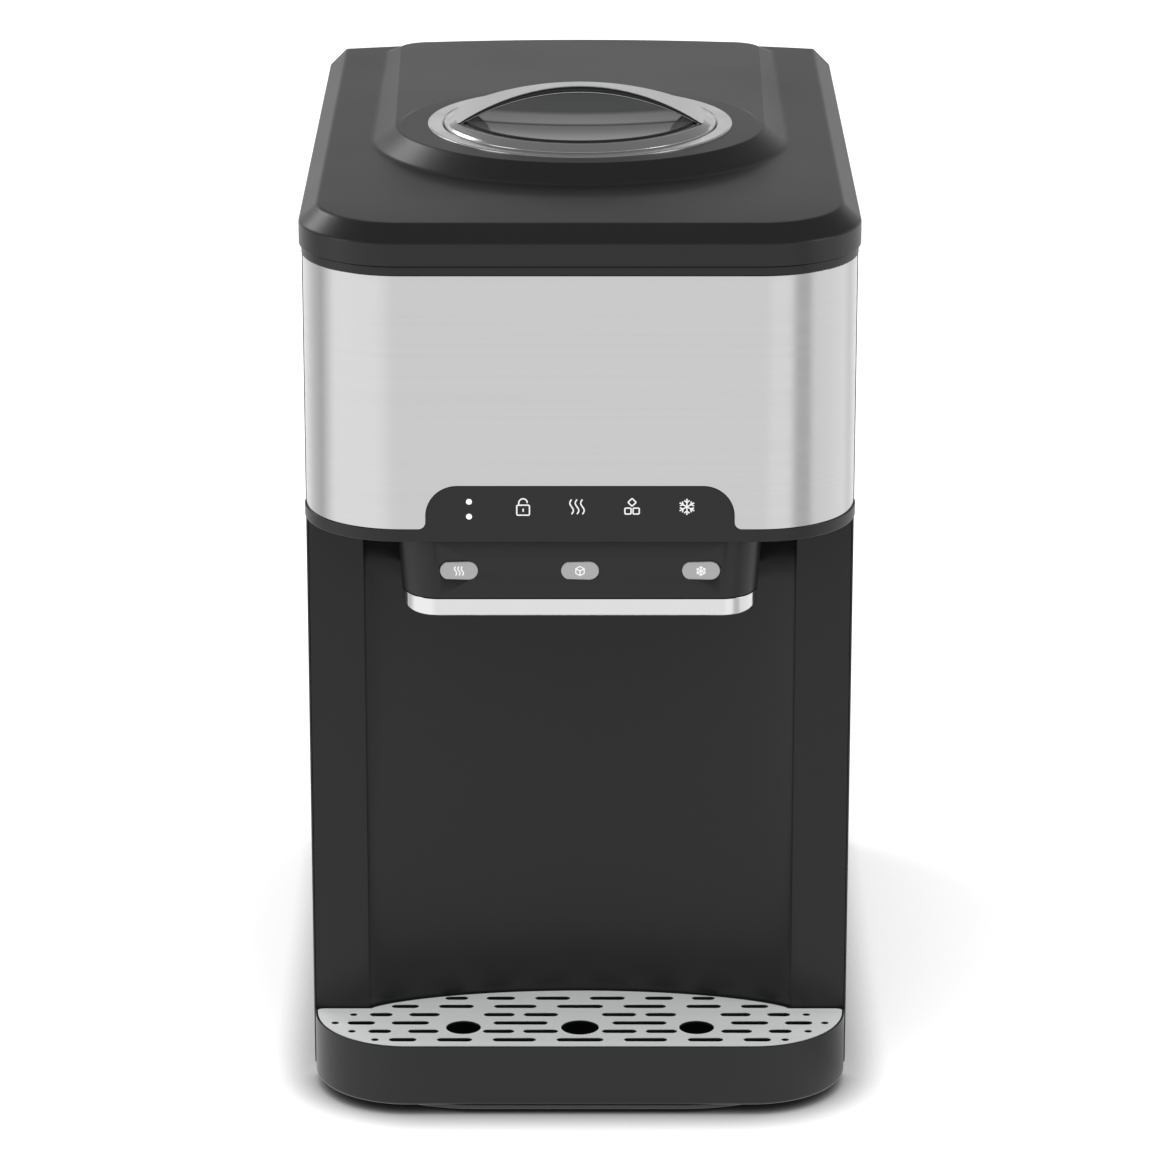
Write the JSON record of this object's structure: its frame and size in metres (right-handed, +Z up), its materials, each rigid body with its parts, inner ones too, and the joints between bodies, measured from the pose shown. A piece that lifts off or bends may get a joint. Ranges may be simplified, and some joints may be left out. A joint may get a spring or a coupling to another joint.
{
  "type": "ice maker with water dispenser",
  "caption": "Countertop ice maker and water dispenser with a steel front, a head with hot, ice and cold buttons, a drip tray and a bottle seat on top under a gripped cover.",
  "frame": {"origin": "middle of the footprint, on the surface that the feet stand on", "axes": "+Z up, -Y towards the user at the front, +X to the right as seen from the front"},
  "size_m": [0.3026, 0.458, 0.5435],
  "materials": {
    "aluminium": "mill",
    "black_plastic": "satin moulded",
    "board_green": "lacquered laminate",
    "brushed_steel": "brushed across",
    "chrome": "bright plated",
    "clear_tube": "milky hose",
    "copper": "drawn copper tube",
    "dark_sheet": "fine matt powder coat",
    "grey_plastic": "moulded",
    "grille_steel": "satin",
    "painted_metal": "satin",
    "rubber": "moulded",
    "silver_plastic": "silver lacquer",
    "smoke_plastic": "smoke grey, polished",
    "tank_steel": "drawn",
    "white_plastic": "moulded"
  },
  "bodies": {
    "housing": {"auger_motor": "grey_plastic", "base_plate": "painted_metal", "bottle_seat": "silver_plastic", "button_board": "board_green", "chrome_band": "chrome", "cold_hose": "clear_tube", "cold_spout": "white_plastic", "cold_tank": "tank_steel", "cold_valve": "white_plastic", "compressor": "painted_metal", "condenser": "aluminium", "deck": "white_plastic", "dispenser_head": "black_plastic", "drain_port": "grey_plastic", "evaporator": "aluminium", "fan_motor": "painted_metal", "fan_shroud": "black_plastic", "feed_hose": "clear_tube", "fill_hose": "clear_tube", "foot_1": "rubber", "foot_2": "rubber", "foot_3": "rubber", "foot_4": "rubber", "front_housing": "black_plastic", "front_trim": "black_plastic", "hot_hose": "clear_tube", "hot_spout": "white_plastic", "hot_tank": "tank_steel", "hot_valve": "white_plastic", "ice_bucket": "white_plastic", "ice_chute": "white_plastic", "ice_frame": "white_plastic", "left_side_panel": "dark_sheet", "niche_liner": "black_plastic", "power_board": "board_green", "power_inlet": "black_plastic", "power_light": "white_plastic", "rear_frame": "painted_metal", "rear_panel": "dark_sheet", "refill_light": "white_plastic", "refrigerant_line": "copper", "right_side_panel": "dark_sheet", "steel_front": "brushed_steel", "top_cover": "black_plastic", "touch_board": "board_green", "trough_motor": "grey_plastic", "upper_frame": "black_plastic", "water_pump": "black_plastic"},
    "dust_cover": {"dust_cover": "smoke_plastic"},
    "tray": {"drip_tray": "black_plastic"},
    "grille": {"drip_grille": "grille_steel"},
    "hot_key": {"hot_button": "grey_plastic"},
    "ice_key": {"ice_button": "grey_plastic"},
    "cold_key": {"cold_button": "grey_plastic"},
    "fan": {"fan_blades": "grey_plastic"},
    "auger": {"auger": "tank_steel"},
    "trough": {"water_trough": "white_plastic"},
    "flap": {"ice_flap": "black_plastic"},
    "drain_plug": {"drain_cap": "rubber"}
  },
  "joints": [
    {"name": "cover_lift", "type": "slide", "parent": "housing", "child": "dust_cover", "axis": [0, 0, 1], "range_m": [0, 0.06]},
    {"name": "tray_slide", "type": "slide", "parent": "housing", "child": "tray", "axis": [0, -1, 0], "range_m": [0, 0.09]},
    {"name": "grille_lift", "type": "slide", "parent": "tray", "child": "grille", "axis": [0, 0, 1], "range_m": [0, 0.03]},
    {"name": "hot_press", "type": "slide", "parent": "housing", "child": "hot_key", "axis": [0, 1, 0], "range_m": [0, 0.002], "stiffness_N_per_m": 500, "springref_m": -0.001},
    {"name": "ice_press", "type": "slide", "parent": "housing", "child": "ice_key", "axis": [0, 1, 0], "range_m": [0, 0.002], "stiffness_N_per_m": 500, "springref_m": -0.001},
    {"name": "cold_press", "type": "slide", "parent": "housing", "child": "cold_key", "axis": [0, 1, 0], "range_m": [0, 0.002], "stiffness_N_per_m": 500, "springref_m": -0.001},
    {"name": "fan_spin", "type": "hinge", "parent": "housing", "child": "fan", "pos_m": [0, 0.172, 0.0809], "axis": [0, 1, 0], "continuous": true},
    {"name": "auger_spin", "type": "hinge", "parent": "housing", "child": "auger", "pos_m": [0, -0.05, 0.3599], "axis": [0, 1, 0], "continuous": true},
    {"name": "trough_tilt", "type": "hinge", "parent": "housing", "child": "trough", "pos_m": [0, 0.08, 0.4469], "axis": [1, 0, 0], "range_deg": [0, 80]},
    {"name": "flap_swing", "type": "hinge", "parent": "housing", "child": "flap", "pos_m": [0, -0.1847, 0.2957], "axis": [1, 0, 0], "range_deg": [0, 70], "stiffness_Nm_per_rad": 0.005, "springref_deg": -20.05},
    {"name": "cap_pull", "type": "slide", "parent": "housing", "child": "drain_plug", "axis": [0, 1, 0], "range_m": [0, 0.03]}
  ]
}
